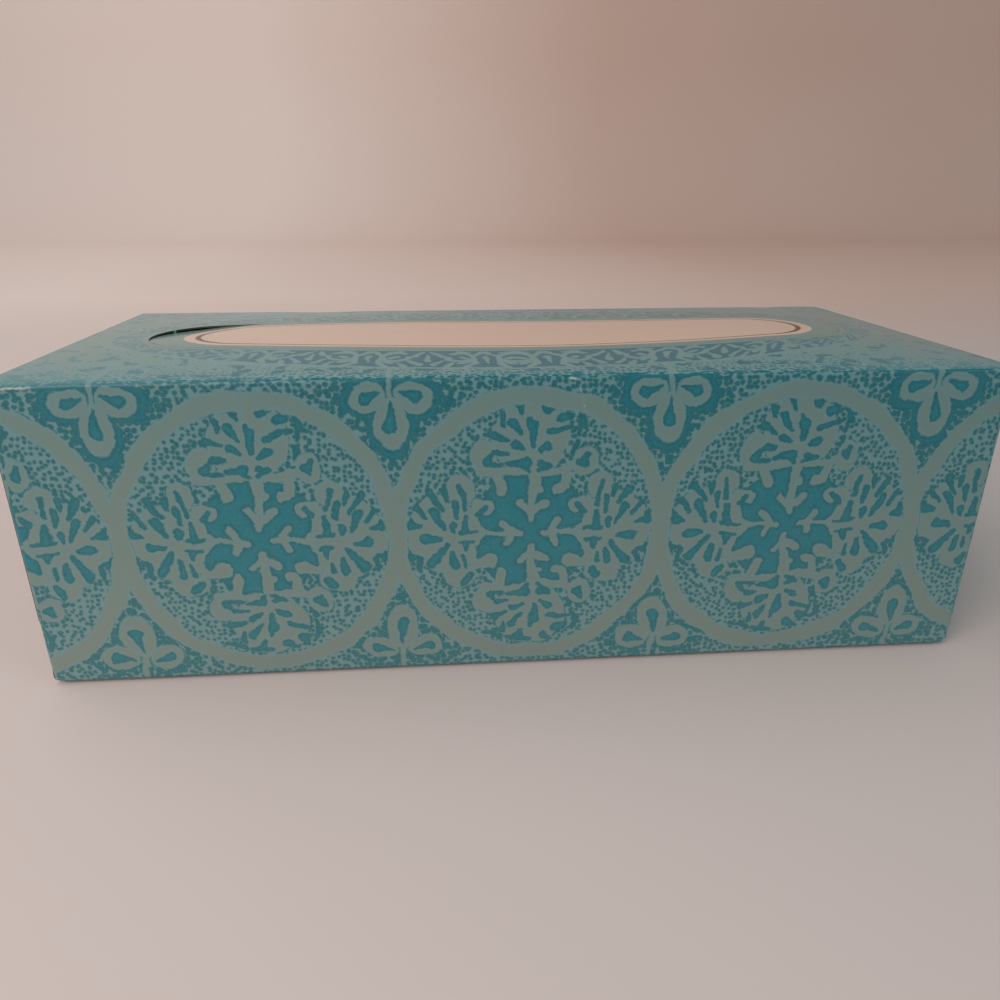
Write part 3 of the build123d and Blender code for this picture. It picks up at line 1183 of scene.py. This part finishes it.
def cover_colour(at):
    """The colours from the folds inwards: stipple and flecks, line, scrolls, border, label, keyline, with
    painted shade on the creases and painted glare on the ink.
    """
    moved = wobbled(at)
    x, y = split(moved)
    true_x, true_y = split(at)
    tear_out = arc_oval(true_x, true_y, TEAR_LENGTH, TEAR_WIDTH, TEAR_END_RADIUS)
    outer = ellipse(moved, (0, 0), BAND_SEMI)
    band = (BORDER - tear_out).high(outer)
    line = abs(outer) - BAND_LINE
    along = along_oval(x, y, TEAR_LENGTH, TEAR_WIDTH, TEAR_END_RADIUS, SCROLL_OUT)
    share = -outer / (tear_out - BORDER - outer).high(EDGE)
    along = along - SCROLL_LEAN * (true_x / HALF_LENGTH).high(0.0) * share
    stem = abs(ROUNDEL_PITCH / 2 - abs(in_roundel(x, y)[0])) - STEM_HALF
    closer = STRIP_DOTS - FOLD_DOTS * (HALF_DEPTH - abs(y))
    specks = stipple(at, closer + CREASE_DOTS * (1 - fold_gap(at) / CREASE).clamp())
    flecks = (FLECK_LEVEL - noise(moved, FLECK_SIZE, detail=3.0)) * FLECK_SLOPE
    field = join_inside([specks.low(flecks), -stem, -outer])
    ink = field.low(band.high(-scrolls(along, share))).high(-line)
    # Painted glare: the ink is painted fainter towards the ends and the back.
    far = ((abs(true_x) - GLARE_FADE_START) / GLARE_FADE_RUN).high(true_y / HALF_DEPTH).clamp()
    ink_strength = COVER_INK_STRENGTH - COVER_GLARE_FADE * far
    # Painted shade over the creases.
    shade = (fold_gap(at) / CREASE).clamp().mix(CREASE_PAINTED_SHADE, WHITE)
    coloured = printed(at, ink, -ink, ink_strength, COVER_SAGE_WITH_SHEEN, COVER_AQUA_WITH_SHEEN, BLUE).vector("MULTIPLY", shade)
    label_x = true_x - LABEL_SHIFT
    papered = inked(arc_oval(label_x, true_y, *LABEL_OVAL)).mix(coloured, LABEL)
    keyline = arc_oval(label_x, true_y, *KEYLINE_OUTSIDE).high(-arc_oval(label_x, true_y, *KEYLINE_INSIDE))
    return inked(keyline).mix(papered, KEYLINE)

# %% The finish of the top
COVER_GLOSS = 0.1
COVER_SHEEN = 0.07
shader, start = new_finish("cover_print", Specular_IOR_Level=COVER_SHEEN)
place = blank_place(start)
varnished(shader, place, cover_colour(place), gloss=COVER_GLOSS)
print("cover print nodes", len(bpy.data.materials["cover_print"].node_tree.nodes))

# %% [markdown]
# ## Plain board, bare board and tissue
# The bottom is printed plain sage. Inside and at every cut edge the board is bare: grey-brown recycled
# pulp with darker fibres, painted darker still as shade for the gaps where cut edges show. The tissue is
# soft, matt and white. Neither has a direction that shows here, so noise through the whole solid will do,
# where streaks along a map of the sheet would be the other way.

# %% The plain finishes
CLOUD_SIZE = 4.0
shader, start = new_finish("plain_print", **VARNISH)
place = blank_place(start)
varnished(shader, place, noise(place, CLOUD_SIZE).mix(SAGE, AQUA))


def solid_noise(start, scale, detail):
    """Noise through a piece, from its Object coordinates in millimetres."""
    place = start.node("TexCoord", {}, 3).vector("MULTIPLY", (1 / MM,) * 3)
    return start.node("TexNoise", {"Vector": place, "Scale": scale, "Detail": detail})


MATT = 0.2
PULP_SCALE = 1.2
PULP_DETAIL = 4.0
PULP_ROUGH = 0.8
PULP_SPREAD = 0.15
shader, start = new_finish("raw_board_and_shade", Specular_IOR_Level=MATT)
fibres = solid_noise(start, PULP_SCALE, PULP_DETAIL)
feed(shader, Base_Color=fibres.mix(BARE_BOARD_AND_SHADE, FIBRE), Roughness=PULP_ROUGH + PULP_SPREAD * fibres)

CREPE_SCALE = 0.9
CREPE_DETAIL = 3.0
CREPE_ROUGH = 0.85
CREPE_SPREAD = 0.1
CREPE_HIGH = paint(236, 233, 228)
CREPE_LOW = paint(216, 212, 206)
CREPE_STRENGTH = 0.3
CREPE_DEPTH = 0.2 * MM
shader, start = new_finish("tissue_paper", Specular_IOR_Level=MATT)
crepe = solid_noise(start, CREPE_SCALE, CREPE_DETAIL)
feed(shader, Base_Color=crepe.mix(CREPE_HIGH, CREPE_LOW), Roughness=CREPE_ROUGH + CREPE_SPREAD * crepe)
crinkle = {"Height": crepe, "Strength": CREPE_STRENGTH, "Distance": CREPE_DEPTH}
feed(shader, Normal=crepe.node("Bump", crinkle))
print("finishes", [material.name for material in bpy.data.materials])

# %% [markdown]
# ## Floor, light and camera
# The carton stands on a pale sweep: a floor that curves up into a wall, so no horizon shows. A soft even
# sky does most of the lighting. A warm lamp in front on the left and a weak one above it throw the shadow
# to the right, a large cooler lamp far on the right fills it, and one more lights the backdrop. A single
# strong lamp would be simpler, but a varnished carton needs broad soft light to show its print.

# %% The sweep
FLOOR_PALE = paint(196, 182, 180)
BACKDROP_LEFT = paint(248, 226, 219)
BACKDROP_RIGHT = paint(225, 190, 178)
BACKDROP_START = 0.15
BACKDROP_RUN = 0.7
BACKDROP_HALF = 0.5
SWEEP_FRONT = -1500.0
SWEEP_BACK = 1900.0
SWEEP_RADIUS = 500.0
SWEEP_TOP = 1600.0
SWEEP_HALF = 2500.0
SWEEP_STEPS = 17
MOTTLE_SCALE = 3.0
MOTTLE = 0.2
FLOOR_ROUGH = 0.9
FLOOR_SHEEN = 0.1
turn = np.linspace(0, np.pi / 2, SWEEP_STEPS)
sweep_wall = SWEEP_BACK + SWEEP_RADIUS
sweep_y = np.concatenate([[SWEEP_FRONT], SWEEP_BACK + SWEEP_RADIUS * np.sin(turn), [sweep_wall]])
sweep_z = np.concatenate([[0], SWEEP_RADIUS * (1 - np.cos(turn)), [SWEEP_TOP]])
sweep_x = np.array([-SWEEP_HALF, SWEEP_HALF])[:, None]
sweep_grid = np.stack(np.broadcast_arrays(sweep_x, sweep_y[None], sweep_z[None]), -1)
index = np.arange(2 * len(sweep_y)).reshape(2, -1)
sweep = write_mesh("pale_sweep", sweep_grid.reshape(-1, 3), grid_quads(index).reshape(-1, 4))
sweep.data.shade_smooth()
sweep.data.materials.append(bpy.data.materials.new("pale_floor"))
shader, start = new_finish("pale_floor", Roughness=FLOOR_ROUGH, Specular_IOR_Level=FLOOR_SHEEN)
place = start.node("TexCoord", {}, 3)
mottle = start.node("TexNoise", {"Vector": place, "Scale": MOTTLE_SCALE}) * MOTTLE
floor_x, floor_y = split(place)
behind = (floor_y - BACKDROP_START) / BACKDROP_RUN
across = (floor_x + BACKDROP_HALF) / (2 * BACKDROP_HALF)
backdrop = across.clamp().mix(BACKDROP_LEFT, BACKDROP_RIGHT)
feed(shader, Base_Color=(behind + mottle).clamp().mix(FLOOR_PALE, backdrop))
print("sweep points", len(sweep.data.vertices))

# %% Sky and lamps
SKY = 0.43
SKY_COLOUR = (0.9, 1.0, 1.0, 1.0)
world = bpy.data.worlds.new("soft_sky")
bpy.context.scene.world = world
world.use_nodes = True
world.node_tree.nodes["Background"].inputs["Color"].default_value = SKY_COLOUR
world.node_tree.nodes["Background"].inputs["Strength"].default_value = SKY

# Each lamp: name, place, aim and size in metres, power in watts, colour.
LAMPS = [
    ("warm_lamp", (-0.45, -0.5, 0.42), (-0.1, 0, 0.04), 0.45, 4.2, (1.0, 0.86, 0.77)),
    ("wall_lamp", (-0.6, 1.0, 1.5), (-0.75, 2.4, 0.35), 1.0, 6.0, (1.0, 0.9, 0.82)),
    ("top_lamp", (-0.45, 0.1, 0.75), (0, 0, 0.08), 0.5, 1.5, (0.97, 0.96, 0.92)),
    ("cool_lamp", (1.5, -1.15, 0.5), (0.15, 0, 0.04), 0.8, 7.6, (0.42, 0.93, 1.0)),
]


def soft_lamp(name, place, aim, size, watts, colour):
    """A square area lamp at a place, turned to face a point, both in metres."""
    lamp = bpy.data.lights.new(name, "AREA")
    lamp.size = size
    lamp.energy = watts
    lamp.color = colour
    stand = bpy.data.objects.new(name, lamp)
    bpy.context.scene.collection.objects.link(stand)
    back = Vector(place) - Vector(aim)
    stand.rotation_euler = back.to_track_quat("Z", "Y").to_euler()
    stand.location = place
    stand.visible_camera = False


for lamp in LAMPS:
    soft_lamp(*lamp)
print("lamps", [lamp[0] for lamp in LAMPS])

# %% The camera, low in front and a little to the left
CAMERA_PLACE = np.array([-20.75, -237.76, 119.88])
CAMERA_YAW = math.radians(4.778)
CAMERA_PITCH = math.radians(22.782)
CAMERA_ROLL = math.radians(0.071)
SENSOR = 36.0
LENS = 28.16
SHIFT_UP = 0.02
level = math.cos(CAMERA_PITCH)
ahead = np.array([math.sin(CAMERA_YAW) * level, math.cos(CAMERA_YAW) * level, -math.sin(CAMERA_PITCH)])
rightwards = np.array([math.cos(CAMERA_YAW), -math.sin(CAMERA_YAW), 0.0])
upwards = np.cross(rightwards, ahead)
tilted_right = rightwards * math.cos(CAMERA_ROLL) + upwards * math.sin(CAMERA_ROLL)
tilted_up = np.cross(tilted_right, ahead)
stance = np.eye(4)
stance[:3] = np.stack([tilted_right, tilted_up, -ahead, CAMERA_PLACE * MM], 1)
view = bpy.data.cameras.new("front_view")
view.sensor_width = SENSOR
view.lens = LENS
view.shift_y = SHIFT_UP
camera = bpy.data.objects.new("front_view", view)
bpy.context.scene.collection.objects.link(camera)
camera.matrix_world = Matrix(stance.tolist())
print("camera at", CAMERA_PLACE, "mm, lens", LENS, "mm")
bpy.context.scene.camera = camera
bpy.context.scene.view_settings.view_transform = "Standard"
